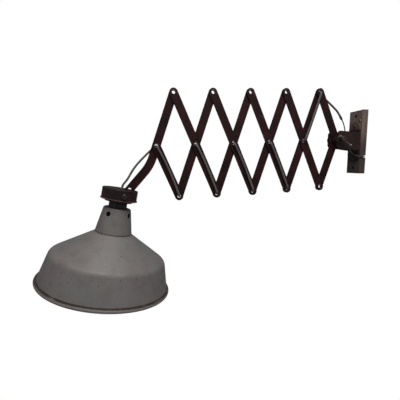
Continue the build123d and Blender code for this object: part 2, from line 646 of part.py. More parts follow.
def head_spacers():
    """Two tubes on the head bolt that keep the carrier's end in the cap's slot."""
    inside = Pos(0, 0, -BOLT_DEPTH) * Cylinder(CAP_R - SHEET_T - FIT, 4 * BOLT_DEPTH)
    front = rod_y(SPACER_R, -CAP_R, LAYER_GAP / 2 - GLIDE, BOLT_SIDE, -BOLT_DEPTH)
    rear = rod_y(SPACER_R, FACE_Y + GLIDE, CAP_R, BOLT_SIDE, -BOLT_DEPTH)
    bore = rod_y(HEAD_BOLT_R + FIT, -2 * CAP_R, 2 * CAP_R, BOLT_SIDE, -BOLT_DEPTH)
    return group([(front & inside) - bore, (rear & inside) - bore])


def cord_grommet():
    """Rubber grommet where the flex enters the cap."""
    bore = CORD_R + CORD_PASS
    profile = polygon((bore, 2.0), (GROMMET_R - 1.2, 2.0), (GROMMET_R, 0.9), (GROMMET_R, 0),
                      (GROMMET_NECK_R, 0), (GROMMET_NECK_R, -SHEET_T), (GROMMET_R - 0.4, -SHEET_T),
                      (GROMMET_R - 1.2, -SHEET_T - 1.6), (bore, -SHEET_T - 1.6))
    return Pos(CORD_HOLE_SIDE, CORD_HOLE_BACK, 0) * turned(profile)


def lampholder():
    """Moulded screw lampholder: threaded entry stub, waisted neck, milled ring and barrel."""
    neck = -HOLDER_DEPTH
    ring = neck - HOLDER_NECK_H
    barrel = ring - HOLDER_RING_H
    foot = barrel - HOLDER_BARREL_H
    floor = foot + SHELL_H + 1.0
    body = turned(polygon(
        (STUB_BORE_R, neck + STUB_RISE), (STUB_R, neck + STUB_RISE), (STUB_R, neck),
        (HOLDER_NECK_R, neck), (HOLDER_NECK_R, ring), (HOLDER_RING_R, ring - 1.0),
        (HOLDER_RING_R, barrel + 1.0), (HOLDER_RING_R - 1.0, barrel), (HOLDER_BARREL_R, barrel),
        (HOLDER_BARREL_R, foot), (SHELL_R + FIT, foot), (SHELL_R + FIT, floor), (STUB_BORE_R, floor)))
    return body


HOLDER_FOOT = -(COLLAR_DEPTH + HOLDER_BARREL_H)
SHELL_TOP = HOLDER_FOOT + SHELL_H + 1.0


def screw_shell():
    """Brass thread liner of the lampholder, with a rolled thread."""
    wall = 0.7
    crest = SHELL_R
    root = SHELL_R - 0.7
    pitch = 3.6
    turns = int(SHELL_H / pitch)
    outer = []
    inner = []
    for n in range(turns):
        upper = SHELL_TOP - n * pitch
        outer += [(crest, upper), (root, upper - pitch / 2)]
        inner += [(crest - wall, upper), (root - wall, upper - pitch / 2)]
    return turned(polygon(*outer, *reversed(inner)))


def centre_contact():
    """Sprung centre contact on the holder's floor, over the wire hole."""
    disc = turned(polygon((0, SHELL_TOP), (4.6, SHELL_TOP), (4.6, SHELL_TOP - 1.0),
                          (2.4, SHELL_TOP - 2.0), (0, SHELL_TOP - 2.0)))
    return disc


def lock_nut():
    """Thin hexagon nut that holds the holder's stub to the dished base."""
    foot = -(HOLDER_DEPTH - SHEET_T)
    hexagon = RegularPolygon(LOCK_NUT_AF / sqrt(3), 6) - Circle(STUB_R + FIT)
    return Pos(0, 0, foot) * extrude(hexagon, amount=LOCK_NUT_H)


def shade_ring():
    """Threaded ring on the barrel that clamps the collar's top against the holder's ring."""
    top_z = -(COLLAR_DEPTH + SHEET_T)
    ring = turned(polygon((HOLDER_BARREL_R + FIT, top_z), (RING_R, top_z), (RING_R, top_z - RING_H + 1.5),
                          (RING_R - 1.5, top_z - RING_H), (HOLDER_BARREL_R + FIT, top_z - RING_H)))
    for n in range(8):
        ring -= Rot(0, 0, 45 * n) * Pos(RING_R + 1.2, 0, top_z - RING_H / 2) * Cylinder(2.2, 2 * RING_H)
    return ring


save(cap(), "cap", HEAD)
save(cap_base(), "cap_base", HEAD)
save(head_bolt(), "head_bolt", HEAD)
save(head_nut(), "head_nut", HEAD)
save(head_spacers(), "head_spacers", HEAD)
save(cord_grommet(), "cord_grommet", HEAD)
save(lampholder(), "lampholder", HEAD)
save(screw_shell(), "screw_shell", HEAD)
save(centre_contact(), "centre_contact", HEAD)
save(lock_nut(), "lock_nut", HEAD)
save(shade_ring(), "shade_ring", HEAD)


# ---- shade -------------------------------------------------------------------------------------------
def offset_path(points, distance):
    """The same open outline moved sideways, to the right of its direction of travel."""
    headings = [atan2(b[1] - a[1], b[0] - a[0]) for a, b in zip(points, points[1:])]
    moved = []
    for n, (x, y) in enumerate(points):
        before = headings[max(n - 1, 0)]
        after = headings[min(n, len(headings) - 1)]
        middle_heading = (before + after) / 2
        reach = distance / cos((after - before) / 2)
        moved.append((x + reach * sin(middle_heading), y - reach * cos(middle_heading)))
    return moved


def sign_of_turn(a, b, c):
    """+1 where an outline turns left, -1 where it turns right."""
    cross = (b[0] - a[0]) * (c[1] - b[1]) - (b[1] - a[1]) * (c[0] - b[0])
    return 1 if cross > 0 else -1


def sheet_profile(points, rounds, thickness):
    """Closed section of a sheet wall: an outer line with rounded corners, and its parallel inside."""
    inside = offset_path(points, thickness)
    outer = FilletPolyline(*points, radius=rounds)
    turns = [sign_of_turn(a, b, c) for a, b, c in zip(points, points[1:], points[2:])]
    inner = FilletPolyline(*inside, radius=[r + turn * thickness for r, turn in zip(rounds, turns)])
    ends = [Line(points[0], inside[0]), Line(inside[-1], points[-1])]
    return make_face(Wire([*outer.edges(), *inner.edges(), *ends]))


def shade_collar():
    """Spun collar: a flat top clamped on the holder, a rounded shoulder and a slightly conical wall."""
    top_z = -COLLAR_DEPTH
    outer = [(HOLDER_BARREL_R + 4 * FIT, top_z), (COLLAR_TOP_R, top_z), (COLLAR_FOOT_R, top_z - COLLAR_H)]
    collar = turned(sheet_profile(outer, [COLLAR_SHOULDER], SHEET_T))
    for n in range(VENT_COUNT):
        turn = -90 - VENT_TURN + 360 / VENT_COUNT * n
        drill = Pos(COLLAR_TOP_R, 0, top_z - VENT_DEPTH) * Rot(0, 90, 0) * Cylinder(VENT_R, 30)
        collar -= Rot(0, 0, turn) * drill
    return collar


def shade():
    """Spun shade: a neck inside the collar, a wide cone, a rounded shoulder, a skirt and a wired rim."""
    slope = (COLLAR_FOOT_R - COLLAR_TOP_R) / COLLAR_H
    neck_r = COLLAR_FOOT_R - SHEET_T / cos(atan2(COLLAR_FOOT_R - COLLAR_TOP_R, COLLAR_H)) - FIT
    outer = [(neck_r - slope * SHADE_NECK_H, -SEAM_DEPTH + SHADE_NECK_H),
             (neck_r + slope * NECK_ROUND, -SEAM_DEPTH - NECK_ROUND),
             (SHOULDER_R, -SHOULDER_DEPTH), (RIM_R, -RIM_DEPTH)]
    wall = sheet_profile(outer, [NECK_ROUND, SHOULDER_ROUND], SHEET_T)
    return turned(wall + Pos(RIM_R, -RIM_DEPTH) * Circle(BEAD_R))


save(shade_collar(), "shade_collar", HEAD)
save(shade(), "shade", HEAD)

# ---- bulb --------------------------------------------------------------------------------------------
BULB_TOP = SHELL_TOP - 2.0 - 0.3
GLASS_TOP = BULB_TOP - BULB_CAP_H


def bulb_cap():
    """Screw cap of the bulb, with its contact button."""
    thread_r = SHELL_R - 1.4 - 0.3
    return turned(polygon((0, BULB_TOP), (3.0, BULB_TOP), (thread_r - 2.5, BULB_TOP - 3.5),
                          (thread_r, BULB_TOP - 4.5), (thread_r, GLASS_TOP), (0, GLASS_TOP)))


def bulb_glass():
    """Pear-shaped glass: a ball under a neck that flares to meet it."""
    ball_z = GLASS_TOP - BULB_L + BULB_R
    tangent = radians(38)
    meet = (BULB_R * cos(tangent), ball_z + BULB_R * sin(tangent))
    neck = Spline((BULB_NECK_R - 2.5, GLASS_TOP), meet, tangents=[(0.15, -1), (sin(tangent), -cos(tangent))])
    ball = ThreePointArc(meet, (BULB_R * cos(radians(-25)), ball_z + BULB_R * sin(radians(-25))),
                         (0, ball_z - BULB_R))
    axis = Line((0, ball_z - BULB_R), (0, GLASS_TOP))
    seat = Line((0, GLASS_TOP), (BULB_NECK_R - 2.5, GLASS_TOP))
    return turned(make_face(Wire([neck, ball, axis, seat])))


save(bulb_cap(), "bulb_cap", HEAD)
save(bulb_glass(), "bulb_glass", HEAD)

# ---- free flex at the lamp, from the last middle rivet into the cap ----------------------------------
flex_into_cap = [tuple((HEAD_IN_ARM * Pos(*point)).position) for point in (
    (CORD_HOLE_SIDE, CORD_HOLE_BACK, 9.0),
    (CORD_HOLE_SIDE, CORD_HOLE_BACK, -5.0),
    (-3.6, 5.6, -12.5),
    (0.0, 0.0, -20.4),
    (0.0, 0.0, -HOLDER_DEPTH))]
M0_X, M0_Z = middle(0)
flex("flex_loop_lamp", [
    (M0_X, 0.0, M0_Z), (M0_X, RIM_Y + 0.5, M0_Z), (M0_X - 3.4, RIM_Y + 4.5, M0_Z - 2.0),
    (M0_X - 13.5, 10.2, M0_Z - 9.4), (M0_X - 34.0, 10.8, M0_Z - 27.6), (M0_X - 50.0, 11.0, M0_Z - 43.4),
    (M0_X - 61.2, 11.1, M0_Z - 58.0), (M0_X - 72.0, 11.0, M0_Z - 75.6), *flex_into_cap], CORD_D, ARM)

# ---- free flex at the wall, its end ferrule and the thin lead ----------------------------------------
T5_X, T5_Z = top(CELLS)


def on_ferrule_axis(distance):
    """A point on the ferrule's axis, in the arm frame, counted from where the braid enters it."""
    return (FERRULE_START[0] + distance * cos(radians(FERRULE_HEADING)), FERRULE_START[1],
            FERRULE_START[2] + distance * sin(radians(FERRULE_HEADING)))


flex("flex_loop_wall", [
    (T5_X, 0.0, T5_Z), (T5_X, RIM_Y + 0.5, T5_Z), (T5_X + 3.3, RIM_Y + 4.4, T5_Z - 2.1),
    (T5_X + 12.5, 10.0, T5_Z - 8.4), (T5_X + 31.0, 9.2, T5_Z - 22.5), (T5_X + 46.5, 8.4, T5_Z - 36.6),
    on_ferrule_axis(-15.0), FERRULE_START], CORD_D, ARM)


def flex_ferrule():
    """Tapered sleeve that binds the end of the braid where the thin lead comes out."""
    sleeve = turned(polygon((0, 0), (FERRULE_R, 0), (FERRULE_R, -0.55 * FERRULE_L),
                            (LEAD_R + 0.5, -FERRULE_L), (0, -FERRULE_L)))
    return Pos(*FERRULE_START) * Rot(0, -90 - FERRULE_HEADING, 0) * sleeve


save(flex_ferrule(), "flex_ferrule", ARM)


def lead_clip():
    """Small saddle on the web that holds the thin lead."""
    saddle = box(LEAD_X - LEAD_R - CLIP_WALL, BRACKET_FACE, CLIP_Y - CLIP_W / 2, CLIP_Y + CLIP_W / 2,
                 CLIP_Z - CLIP_L / 2, CLIP_Z + CLIP_L / 2)
    saddle = fillet(saddle.edges().filter_by(Axis.Z).group_by(Axis.X)[0], 1.4 * CLIP_WALL)
    return saddle - Pos(LEAD_X, CLIP_Y, CLIP_Z) * Cylinder(LEAD_R + FIT, 20)


save(lead_clip(), "lead_clip")
lead_start = tuple((ARM * Pos(*on_ferrule_axis(FERRULE_L))).position)
lead_next = tuple((ARM * Pos(*on_ferrule_axis(FERRULE_L + 9.0))).position)
flex("lead_loop", [
    lead_start, lead_next, (PIVOT[0] + 32.6, 8.8, PIVOT[2] + 31.0), (PIVOT[0] + 35.2, 9.6, PIVOT[2] + 19.0),
    (PIVOT[0] + 39.6, 10.4, PIVOT[2] + 8.0), (PIVOT[0] + 46.4, CLIP_Y - 0.2, PIVOT[2] - 0.4),
    (LEAD_X, CLIP_Y, CLIP_Z + 8.6), (LEAD_X, CLIP_Y, CLIP_Z)], LEAD_D)
flex("supply_lead", [
    (LEAD_X, CLIP_Y, CLIP_Z), (LEAD_X, CLIP_Y, CLIP_Z - 8.0), (LEAD_X, CLIP_Y - 2.4, -23.6),
    (LEAD_X - 0.1, 2.0, -28.2), (LEAD_X, -6.6, -31.8), (LEAD_X - 0.1, -14.0, -34.4),
    (LEAD_X, -20.0, -36.4), (LEAD_X + 0.8, -24.7, -37.4), (LEAD_X + 4.2, SIDE_Y - 0.4, LEAD_Z),
    (-0.6 * BOARD_T, SIDE_Y - 0.2, LEAD_Z - 0.1), (GROOVE_MID, SIDE_Y, LEAD_Z),
    (GROOVE_MID, SIDE_Y + 7.5, LEAD_Z), (GROOVE_MID, GROOVE_Y, LEAD_Z - 0.1),
    (GROOVE_MID, GROOVE_Y, LEAD_Z + 8.0), (GROOVE_MID - 0.2, GROOVE_Y + 0.3, -21.0),
    (-TERMINAL_MID + 0.2, -6.0, -13.0), (-TERMINAL_MID, -TERMINAL_POLE, -7.0),
    (-TERMINAL_MID, -TERMINAL_POLE, TERMINAL_RISE - TERMINAL_H / 2)], LEAD_D)

print(len(written), "parts, cell", round(2 * HALF_CELL, 2), "half height", round(HALF_H, 2))
print("head bolt in the arm frame", [round(v, 1) for v in HEAD_BOLT])
print("cap top", [round(v, 2) for v in CAP_TOP], "seam", round(SEAM_DEPTH, 1), "rim", round(RIM_DEPTH, 1))
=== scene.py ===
# %% [markdown]
# # An accordion wall lamp
#
# The lamp is a folding scissor arm on a wooden wall board, with a grey shade at its far end. All hard
# pieces already exist as exact CAD solids. This script gives them their finishes, replaces the plain tubes
# of the flex with smooth ones, and sets the light and the camera of the photograph.
#
# Everything is in metres. The wall is the plane X = 0, the arm reaches out along -X, and +Z is up.

# %% Frame
from math import cos, hypot, pi, radians, sin

import bpy
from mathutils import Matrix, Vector


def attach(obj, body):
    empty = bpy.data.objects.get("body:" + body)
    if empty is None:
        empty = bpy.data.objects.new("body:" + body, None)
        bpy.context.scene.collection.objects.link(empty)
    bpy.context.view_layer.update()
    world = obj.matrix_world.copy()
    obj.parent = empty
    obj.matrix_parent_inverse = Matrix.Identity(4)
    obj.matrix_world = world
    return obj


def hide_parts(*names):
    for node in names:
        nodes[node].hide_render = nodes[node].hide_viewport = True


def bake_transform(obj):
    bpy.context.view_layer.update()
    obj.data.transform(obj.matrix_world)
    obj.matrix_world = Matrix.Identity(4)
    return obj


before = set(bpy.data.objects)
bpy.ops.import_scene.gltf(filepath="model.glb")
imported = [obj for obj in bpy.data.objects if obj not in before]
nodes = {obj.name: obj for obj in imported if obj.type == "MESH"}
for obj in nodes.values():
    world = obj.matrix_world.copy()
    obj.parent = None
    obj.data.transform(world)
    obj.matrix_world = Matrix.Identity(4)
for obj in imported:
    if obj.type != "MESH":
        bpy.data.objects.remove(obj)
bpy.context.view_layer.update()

# %% [markdown]
# ## Camera
#
# The photograph was taken from the lamp's side, a little nearer the shade than the wall, about level with
# the arm. The scissor strips make a regular lattice, so its rivets can be matched one by one, and the
# camera's place and lens follow from them. A camera's lens in Blender is a focal length on a 36 mm sensor.

# %% Camera
PIVOT = Vector((-0.074, 0.0, 0.006))          # wall pivot of the arm
CAMERA_FROM_PIVOT = Vector((-0.5179, -0.7196, -0.0599))
LENS = 27.09
PITCH_DOWN = 7.08
YAW = -11.88

camera_data = bpy.data.cameras.new("camera")
camera_data.lens = LENS
camera_data.sensor_width = 36.0
camera_data.clip_start = 0.01
camera = bpy.data.objects.new("camera", camera_data)
bpy.context.scene.collection.objects.link(camera)
camera.location = PIVOT + CAMERA_FROM_PIVOT
camera.rotation_euler = (radians(90 - PITCH_DOWN), 0.0, radians(YAW))
bpy.context.scene.camera = camera
bpy.context.scene.view_settings.view_transform = "Standard"
print("camera", [round(v, 3) for v in camera.location])

# %% [markdown]
# ## Light and background
#
# The photograph is a cut-out on white, lit softly from above. Three area lights do that: a wide one
# overhead, a weaker one from the front and right, and a faint one from the left. The world and the floor
# are white only to the camera, so that the white paper doesn't wash the dark steel out. The Light Path
# node tells a camera ray from the rays that carry light.


# %% Background
def light_switch(tree, seen, unseen, kind):
    """Joins two shaders: one for what the camera sees directly, one for every other ray."""
    path = tree.nodes.new("ShaderNodeLightPath")
    mix = tree.nodes.new("ShaderNodeMixShader")
    tree.links.new(path.outputs["Is Camera Ray"], mix.inputs["Fac"])
    tree.links.new(unseen, mix.inputs[1])
    tree.links.new(seen, mix.inputs[2])
    output = tree.nodes.new(kind)
    tree.links.new(mix.outputs[0], output.inputs["Surface"])


AMBIENT = 0.16

world = bpy.data.worlds.new("studio")
bpy.context.scene.world = world
world.use_nodes = True
sky = world.node_tree
sky.nodes.clear()
white = sky.nodes.new("ShaderNodeBackground")
white.inputs["Color"].default_value = (1, 1, 1, 1)
white.inputs["Strength"].default_value = 1.0
dim = sky.nodes.new("ShaderNodeBackground")
dim.inputs["Color"].default_value = (0.96, 0.98, 1.0, 1)
dim.inputs["Strength"].default_value = AMBIENT
light_switch(sky, white.outputs[0], dim.outputs[0], "ShaderNodeOutputWorld")
print("world is white to the camera and", AMBIENT, "to other rays")

# %% Floor
FLOOR_Z = -0.95
FLOOR_HALF = 6.0

floor_mesh = bpy.data.meshes.new("floor")
corners = [(-FLOOR_HALF, -FLOOR_HALF), (FLOOR_HALF, -FLOOR_HALF), (FLOOR_HALF, FLOOR_HALF),
           (-FLOOR_HALF, FLOOR_HALF)]
floor_mesh.from_pydata([(x, y, FLOOR_Z) for x, y in corners], [], [(0, 1, 2, 3)])
floor = bpy.data.objects.new("floor", floor_mesh)
bpy.context.scene.collection.objects.link(floor)
paper = bpy.data.materials.new("paper")
paper.use_nodes = True
sheet = paper.node_tree
sheet.nodes.clear()
glow = sheet.nodes.new("ShaderNodeEmission")
glow.inputs["Color"].default_value = (1, 1, 1, 1)
glow.inputs["Strength"].default_value = 1.0
matt = sheet.nodes.new("ShaderNodeBsdfDiffuse")
matt.inputs["Color"].default_value = (0.55, 0.55, 0.55, 1)
light_switch(sheet, glow.outputs[0], matt.outputs[0], "ShaderNodeOutputMaterial")
floor_mesh.materials.append(paper)
print("floor at", FLOOR_Z)


# %% Lights
def area_light(name, place, target, size, power, colour):
    """A square soft light that faces a point."""
    data = bpy.data.lights.new(name, "AREA")
    data.size = size
    data.energy = power
    data.color = colour
    lamp = bpy.data.objects.new(name, data)
    bpy.context.scene.collection.objects.link(lamp)
    lamp.location = place
    lamp.rotation_euler = (Vector(target) - Vector(place)).to_track_quat("-Z", "Y").to_euler()
    return lamp


AIM = (-0.5, 0.0, -0.15)
lights = [
    area_light("overhead", (-0.45, -0.75, 1.5), AIM, 1.0, 25.0, (1.0, 0.98, 0.975)),
    area_light("front_right", (0.4, -1.7, 0.5), AIM, 0.9, 3.7, (1.0, 0.89, 0.89)),
    area_light("left", (-1.9, -1.2, 0.2), AIM, 0.9, 1.1, (0.88, 1.0, 0.93)),
]
print(len(lights), "area lights")

# %% [markdown]
# ## Where things are along the arm
#
# The arm was drawn level, with its origin on the wall pivot, and then turned by the few degrees that it
# hangs. The lamp head was drawn upright and turned too. The same two turns place the flex here, from
# lengths in millimetres, so that a route can be written down in the arm's own directions.

# %% Arm and head frames
MM = 0.001
ARM_DROOP = 2.6
LINK = 130.0
LINK_ANGLE = 68.74
CELLS = 5
HALF_CELL = LINK * cos(radians(LINK_ANGLE))
HALF_H = LINK * sin(radians(LINK_ANGLE))
HEAD_TILT = 13.5
CAP_TOP = (-559.76, -94.89)


def turned(x, z, angle):
    """A point in XZ, turned about Y by an angle in degrees, as Blender and the CAD both count it."""
    a = radians(angle)
    return x * cos(a) + z * sin(a), -x * sin(a) + z * cos(a)


def from_arm(x, y, z):
    """A point of the arm frame, in millimetres, as a point of the shared frame in metres."""
    across, up = turned(x, z, -ARM_DROOP)
    return PIVOT + Vector((across, y, up)) * MM


def head_in_arm(x, y, z):
    """A point of the head frame as a point of the arm frame, both in millimetres."""
    across, up = turned(x, z, HEAD_TILT)
    return CAP_TOP[0] + across, y, CAP_TOP[1] + up


def top(k):
    """Upper rivet k of the lattice in the arm frame, counted from the lamp."""
    return (-HALF_CELL * (2 * (CELLS - k) + 1), HALF_H)


def low(k):
    """Lower rivet k of the lattice, counted from the lamp."""
    return (-HALF_CELL * (2 * (CELLS - k) + 1), -HALF_H)


def middle(k):
    """Middle rivet k of the lattice, counted from 0 at the lamp."""
    return (-HALF_CELL * 2 * (CELLS - k), 0.0)


HEAD_ORIGIN = from_arm(*head_in_arm(0, 0, 0))
HEAD_DOWN = (from_arm(*head_in_arm(0, 0, -1000)) - HEAD_ORIGIN).normalized()
print("top of the cap", [round(v, 4) for v in HEAD_ORIGIN], "axis", [round(v, 3) for v in HEAD_DOWN])

# %% [markdown]
# ## The flex
#
# One grey braided flex runs from the lamp to the wall. It threads through the hollow rivets, in front of a
# strip on the way down and behind the next on the way up. Each stretch belongs to the strip that it lies
# along, and meets the next inside a rivet's bore.
#
# A NURBS curve with the route's corners as control points stays smooth, as real flex does. Blender gives its
# line as a row of points, and a ring of vertices is set square to the line at each. Turning each ring by
# the least that the line turns keeps the tube from twisting. A mesh, unlike a curve, can bend with a joint.

# %% Line of a stretch
CORD_D = 5.2
LEAD_D = 2.8
RUN_LENGTH = 0.142          # of one woven stretch, in metres
ROUND = 16                  # sides of a tube
CURVE_STEPS = 10            # points of the line in each segment of the curve


def line_points(points):
    """The NURBS line through the control points, as Blender works it out, in order."""
    data = bpy.data.curves.new("bare_line", "CURVE")
    data.dimensions = "3D"
    data.resolution_u = CURVE_STEPS
    spline = data.splines.new("NURBS")
    spline.points.add(len(points) - 1)
    for control, point in zip(spline.points, points):
        control.co = (*point, 1.0)
    spline.order_u = 3
    spline.use_endpoint_u = True
    bare = bpy.data.objects.new("bare_line", data)
    bpy.context.scene.collection.objects.link(bare)
    mesh = bpy.data.meshes.new_from_object(bare)
    line = [vertex.co.copy() for vertex in mesh.vertices]
    bpy.data.objects.remove(bare, do_unlink=True)
    bpy.data.meshes.remove(mesh)
    first = Vector(points[0])
    return line if (line[0] - first).length < (line[-1] - first).length else line[::-1]


# %% Tube along a line
def tube_mesh(name, points, diameter):
    """A round tube along the NURBS line, with a map along and around it; also the line and its length."""
    line = line_points(points)
    travelled = [0.0]
    for before, here in zip(line, line[1:]):
        travelled.append(travelled[-1] + (here - before).length)
    heading = (line[1] - line[0]).normalized()
    side = heading.orthogonal().normalized()
    verts, faces, maps = [], [], []
    for n, here in enumerate(line):
        ahead = (line[min(n + 1, len(line) - 1)] - line[max(n - 1, 0)]).normalized()
        side = (heading.rotation_difference(ahead) @ side).normalized()
        heading = ahead
        other = heading.cross(side)
        for step in range(ROUND):
            a = 2 * pi * step / ROUND
            verts.append(here + (side * cos(a) + other * sin(a)) * diameter * MM / 2)
    for n in range(len(line) - 1):
        u, next_u = travelled[n] / RUN_LENGTH, travelled[n + 1] / RUN_LENGTH
        for step in range(ROUND):
            v, next_v = step / ROUND, (step + 1) / ROUND
            ring, next_ring = n * ROUND, (n + 1) * ROUND
            beside = (step + 1) % ROUND
            faces.append((ring + step, ring + beside, next_ring + beside, next_ring + step))
            maps += [(u, v), (u, next_v), (next_u, next_v), (next_u, v)]
    last = (len(line) - 1) * ROUND
    faces += [tuple(reversed(range(ROUND))), tuple(range(last, last + ROUND))]
    maps += [(0.0, 0.0)] * (2 * ROUND)
    mesh = bpy.data.meshes.new(name)
    mesh.from_pydata(verts, [], faces)
    layer = mesh.uv_layers.new(name="along_and_around")
    for spot, uv in zip(layer.data, maps):
        spot.uv = uv
    mesh.shade_smooth()
    tube = bpy.data.objects.new(name, mesh)
    bpy.context.scene.collection.objects.link(tube)
    return tube, line, travelled[-1]


# %% Woven stretches
FACE_Y = 3.2                # outer face of the strips, from the arm's middle plane
RIM_Y = 4.3                 # outer end of a rivet
LIFT = 0.6                  # between the strip's face and the flex
RIM_LIFT = 1.9              # and between a rivet's end and the flex that turns over it


def woven_run(start, end, side, bow):
    """Route along one half strip, from one rivet's bore to the next; side is -1 in front, +1 behind."""
    length = hypot(end[0] - start[0], end[1] - start[1])
    along = ((end[0] - start[0]) / length, (end[1] - start[1]) / length)
    across = (-along[1], along[0])
    bend = RIM_Y + CORD_D / 2 + RIM_LIFT
    lie = FACE_Y + CORD_D / 2 + LIFT
    half = [(0.0, 0.0, 0.0), (0.0, RIM_Y + 0.3, 0.0), (4.0, bend, 0.1 * bow),
            (14.0, bend - 0.7, 0.4 * bow), (34.0, lie + 0.3, 0.85 * bow)]
    far_half = [(length - reach, out, 0.9 * stray) for reach, out, stray in reversed(half)]
    route = half + [(length / 2, lie, bow)] + far_half
    return [from_arm(start[0] + along[0] * reach + across[0] * stray, side * out,
                     start[1] + along[1] * reach + across[1] * stray) for reach, out, stray in route]


FRONT = -1
REAR = 1
runs = []
for k, bow_front, bow_rear in zip(range(1, CELLS), (3.4, 2.8, 3.0, 2.4), (2.0, -1.6, 1.8, -2.2)):
    rider = "front_half_lamp" if k == 1 else f"front_{k - 1}"
    runs.append((f"flex_front_{k}", woven_run(middle(k - 1), low(k), FRONT, bow_front), rider))
    runs.append((f"flex_rear_{k}", woven_run(low(k), middle(k), REAR, bow_rear), f"rear_{k}"))
runs.append(("flex_front_top", woven_run(middle(CELLS - 1), top(CELLS), FRONT, -2.4), "rear_4"))

braided = []
for node, points, rider in runs:
    stretch, line, length = tube_mesh("braid_" + node, points, CORD_D)
    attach(stretch, rider)
    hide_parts(node)
    braided.append(stretch)
print(len(braided), "woven stretches, the last", round(length, 4), "m long")

# %% [markdown]
# The free loops hang between two bodies. One leaves the last middle rivet and dives into the cap. The other
# leaves the highest rivet by the wall, and ends in a small sleeve, where a thin lead carries on into the
# bracket and round the board to the terminal block in its back.
#
# The loop at the wall was drawn for the photographed pose. Its ends move apart as the arm opens, to more
# than its length, so in the opened poses it is stretched. The thin lead's loop is short in the same way
# towards the lower limit of arm_tilt. Real ones would need more slack there.

# %% Free loops
CORD_HOLE = (2.6, 11.0)     # grommet in the cap's top, in the head frame
HOLDER_DEPTH = 29.8         # where the flex ends, at the top of the holder's neck
M0 = middle(0)
loop_lamp = [
    (M0[0], 0.0, M0[1]), (M0[0], RIM_Y + 0.5, M0[1]), (M0[0] - 3.4, RIM_Y + 4.5, M0[1] - 2.0),
    (M0[0] - 13.5, 10.2, M0[1] - 9.4), (M0[0] - 34.0, 10.8, M0[1] - 27.6),
    (M0[0] - 50.0, 11.0, M0[1] - 43.4), (M0[0] - 61.2, 11.1, M0[1] - 58.0),
    (M0[0] - 72.0, 11.0, M0[1] - 75.6),
    *[head_in_arm(*point) for point in (
        (*CORD_HOLE, 9.0), (*CORD_HOLE, -5.0), (-3.6, 5.6, -12.5), (0.0, 0.0, -20.4),
        (0.0, 0.0, -HOLDER_DEPTH))]]
T5 = top(CELLS)
FERRULE_START = (19.6, 8.2, 60.2)
FERRULE_L = 10.0
FERRULE_HEADING = radians(-59.0)


def on_ferrule_axis(distance):
    """A point on the sleeve's axis in the arm frame, counted from where the braid enters it."""
    return (FERRULE_START[0] + distance * cos(FERRULE_HEADING), FERRULE_START[1],
            FERRULE_START[2] + distance * sin(FERRULE_HEADING))


loop_wall = [
    (T5[0], 0.0, T5[1]), (T5[0], RIM_Y + 0.5, T5[1]), (T5[0] + 3.3, RIM_Y + 4.4, T5[1] - 2.1),
    (T5[0] + 12.5, 10.0, T5[1] - 8.4), (T5[0] + 31.0, 9.2, T5[1] - 22.5),
    (T5[0] + 46.5, 8.4, T5[1] - 36.6), on_ferrule_axis(-15.0), FERRULE_START]


def bending(node, points, diameter):
    """A free stretch between two bodies, made as one tube in the shared frame in place of its CAD node."""
    tube, line, length = tube_mesh("bend_" + node, points, diameter)
    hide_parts(node)
    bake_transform(tube)
    print(node, "is", round(length, 4), "m long")
    return tube


at_lamp = [from_arm(*point) for point in loop_lamp]
at_wall = [from_arm(*point) for point in loop_wall]
lamp_tube = bending("flex_loop_lamp", at_lamp, CORD_D)
wall_tube = bending("flex_loop_wall", at_wall, CORD_D)
for tube in (lamp_tube, wall_tube):
    braided.append(tube)

# %% Thin lead
WEB_X = -19.0               # bracket's web, the face away from the wall
LEAD_GAP = 0.2              # between the lead and what it runs along
LEAD_X = WEB_X - LEAD_D / 2 - LEAD_GAP
CLIP = (11.0, -9.0)         # Y and Z of the clip that holds the lead
P = [v / MM for v in PIVOT]
lead_loop = [
    from_arm(*on_ferrule_axis(FERRULE_L)), from_arm(*on_ferrule_axis(FERRULE_L + 9.0)),
    *[Vector(point) * MM for point in (
        (P[0] + 32.6, 8.8, P[2] + 31.0), (P[0] + 35.2, 9.6, P[2] + 19.0), (P[0] + 39.6, 10.4, P[2] + 8.0),
        (P[0] + 46.4, CLIP[0] - 0.2, P[2] - 0.4), (LEAD_X, CLIP[0], CLIP[1] + 8.6),
        (LEAD_X, CLIP[0], CLIP[1]))]]
LEAD_Z = -38.0              # height at which the lead crosses the board's near side
SIDE_Y = -26.6              # its line beside the board
GROOVE_X = -3.0             # groove in the board's back
GROOVE_Y = -9.0
supply_lead = [Vector(point) * MM for point in (
    (LEAD_X, CLIP[0], CLIP[1]), (LEAD_X, CLIP[0], CLIP[1] - 8.0), (LEAD_X, CLIP[0] - 2.4, -23.6),
    (LEAD_X - 0.1, 2.0, -28.2), (LEAD_X, -6.6, -31.8), (LEAD_X - 0.1, -14.0, -34.4),
    (LEAD_X, -20.0, -36.4), (LEAD_X + 0.8, -24.7, -37.4), (LEAD_X + 4.2, SIDE_Y - 0.4, LEAD_Z),
    (-9.6, SIDE_Y - 0.2, LEAD_Z - 0.1), (GROOVE_X, SIDE_Y, LEAD_Z),
    (GROOVE_X, SIDE_Y + 7.5, LEAD_Z), (GROOVE_X, GROOVE_Y, LEAD_Z - 0.1),
    (GROOVE_X, GROOVE_Y, LEAD_Z + 8.0), (GROOVE_X - 0.2, GROOVE_Y + 0.3, -21.0),
    (-4.8, -6.0, -13.0), (-5.0, -4.5, -7.0), (-5.0, -4.5, -1.0))]
lead_tube = bending("lead_loop", lead_loop, LEAD_D)
fixed_lead, line, length = tube_mesh("smooth_supply_lead", supply_lead, LEAD_D)
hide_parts("supply_lead")
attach(fixed_lead, "wall_mount")
leads = [lead_tube, fixed_lead]
print("supply_lead is", round(length, 4), "m long")

